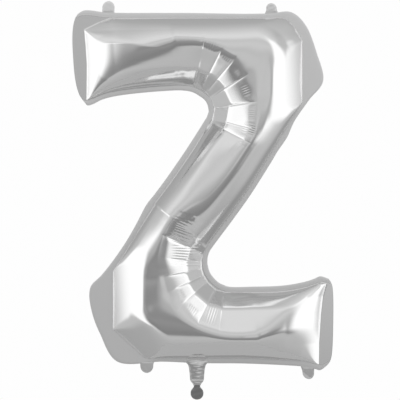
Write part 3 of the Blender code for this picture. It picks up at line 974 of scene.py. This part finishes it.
# Patches of the studio, each laid over those before it: its light, and its edges. An edge is a direction,
# with where along it the patch has faded out and where it is full.
PATCHES = [
    # both sides
    (shown(186), [("aside", 0.7, 0.9)]),
    # a dark gap on the left and a glow on the right, both near the horizontal
    (shown(135), [("x", 0.0, -0.1), ("x", -0.55, -0.42), ("z", 0.03, -0.05), ("z", -0.24, -0.14)]),
    (shown(192), [("x", 0.0, 0.08), ("x", 0.42, 0.3), ("z", 0.3, 0.1), ("z", -0.16, -0.02)]),
    # a white box on each side, which the facets and the gores reflect, narrower further round to the side
    (WHITE_BOX, [("x", -0.3, -0.55), ("under", 0.16, 0.0), ("y", -0.78, -0.58), ("z", 0.5, 0.27)]),
    (WHITE_BOX, [("x", 0.3, 0.55), ("over", 0.26, 0.02), ("y", -0.78, -0.58), ("z", -0.45, -0.15)]),
]


def studio_ramp(n, dy, dz):
    """The grey levels round the horizontal axis."""
    turned = n.math("ARCTAN2", dz, n.times(dy, -1.0))
    ramp = n.add("ShaderNodeValToRGB")
    n.join(n.math("ADD", n.math("DIVIDE", turned, 2 * math.pi), 0.5), ramp.inputs[0])
    stops = ramp.color_ramp.elements
    while len(stops) > 1:
        stops.remove(stops[-1])
    for k, (angle, level) in enumerate(STUDIO):
        place = (angle + 180) / 360
        stop = stops[0] if k == 0 else stops.new(place)
        stop.position = place
        grey = shown(level)
        stop.color = (grey, grey, grey, 1.0)
    return ramp.outputs[0]


def studio_world():
    """The studio round the letter: white behind it for the camera, and boxes and dark gaps for the foil."""
    world = bpy.data.worlds.new("studio")
    bpy.context.scene.world = world
    world.use_nodes = True
    n = Nodes(world.node_tree)
    place = n.add("ShaderNodeTexCoord")
    split = n.add("ShaderNodeSeparateXYZ")
    n.join(place.outputs["Generated"], split.inputs[0])
    dx, dy, dz = split.outputs
    away = n.times(dy, BOX_AWAY)
    directions = {
        "x": dx,
        "y": dy,
        "z": dz,
        "aside": n.math("ABSOLUTE", dx),
        "under": n.math("SUBTRACT", away, n.times(n.math("MINIMUM", dz, 0.0), BOX_UNDER)),
        "over": n.math("ADD", away, n.math("MAXIMUM", dz, 0.0)),
    }
    light = studio_ramp(n, dy, dz)
    for patch_light, edges in PATCHES:
        share = n.times(*[n.ease(directions[name], none, full) for name, none, full in edges])
        light = n.blend(share, light, patch_light)
    studio = n.add("ShaderNodeBackground")
    n.join(light, studio.inputs[0])
    plain = n.add("ShaderNodeBackground")
    plain.inputs[0].default_value = (BACKDROP, BACKDROP, BACKDROP, 1.0)
    seen = n.add("ShaderNodeLightPath")
    choose = n.add("ShaderNodeMixShader")
    n.fill(choose.inputs, (seen.outputs["Is Camera Ray"], studio.outputs[0], plain.outputs[0]))
    out = n.add("ShaderNodeOutputWorld")
    n.join(choose.outputs[0], out.inputs[0])


def film_material(name, reflectance, roughness):
    made = bpy.data.materials.new(name)
    made.use_nodes = True
    n = Nodes(made.node_tree)
    out = n.add("ShaderNodeOutputMaterial")
    shader = n.add("ShaderNodeBsdfPrincipled")
    n.join(shader.outputs[0], out.inputs[0])
    shader.inputs["Base Color"].default_value = (reflectance, reflectance, reflectance, 1.0)
    shader.inputs["Metallic"].default_value = 1.0
    shader.inputs["Roughness"].default_value = roughness
    return made


def studio_floor():
    """A pale round floor, far enough below the letter that the camera doesn't see it."""
    radius, floor_z, sides = 1.2, -2.2, 96
    grey, roughness = 0.8, 0.7
    ring = []
    for k in range(sides):
        turn = 2 * math.pi * k / sides
        ring.append((radius * math.cos(turn), radius * math.sin(turn), floor_z))
    mesh = bpy.data.meshes.new("floor")
    mesh.from_pydata(ring, [], [tuple(range(sides))])
    floor = bpy.data.objects.new("floor", mesh)
    bpy.context.scene.collection.objects.link(floor)
    pale = bpy.data.materials.new("pale_floor")
    pale.use_nodes = True
    shader = pale.node_tree.nodes["Principled BSDF"]
    shader.inputs["Base Color"].default_value = (grey, grey, grey, 1.0)
    shader.inputs["Roughness"].default_value = roughness
    mesh.materials.append(pale)


def camera():
    """Straight on, with a long lens. The frame is 400 pixels of 2.4 mm at the letter's middle plane."""
    distance = 4.0
    frame_height = 0.96
    middle_x, middle_z = -0.0048, -0.024
    data = bpy.data.cameras.new("camera")
    data.sensor_width = 36.0
    data.lens = data.sensor_width * distance / frame_height
    made = bpy.data.objects.new("camera", data)
    made.location = (middle_x, -distance, middle_z)
    made.rotation_euler = (math.radians(90), 0.0, 0.0)
    bpy.context.scene.collection.objects.link(made)
    bpy.context.scene.camera = made


def fit(piece, node):
    """Puts a piece on the body in place of a node of the solids."""
    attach(piece, "root")
    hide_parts(node)


bpy.context.scene.view_settings.view_transform = "Standard"
camera()
studio_world()
studio_floor()
films = {name: film_material(name, *look) for name, look in FILMS.items()}

plan = Plan()
sheet_films = [films["bright_foil"], films["weld_margin"], films["crease_painted_shade"]]
front = foil_sheet("front_foil_sheet", plan, -1, sheet_films)
back = foil_sheet("back_foil_sheet", plan, 1, sheet_films)
fit(front, "front_foil_panel")
fit(back, "back_foil_panel")

ears = []
for k, tab in enumerate(TABS):
    ears.append(make_tab(tab, FIRST_SEED + SEED_STEP * k, films["tab_film"]))
    fit(ears[-1], tab.node)
neck_films = [
    neck_film("filling_neck_front", 1, films["bright_foil"]),
    neck_film("filling_neck_back", -1, films["bright_foil"]),
]
fit(neck_films[0], "neck_front_film")
fit(neck_films[1], "neck_back_film")
pull_flap = pull_end(films["pull_film"])
fit(pull_flap, "neck_pull_end")
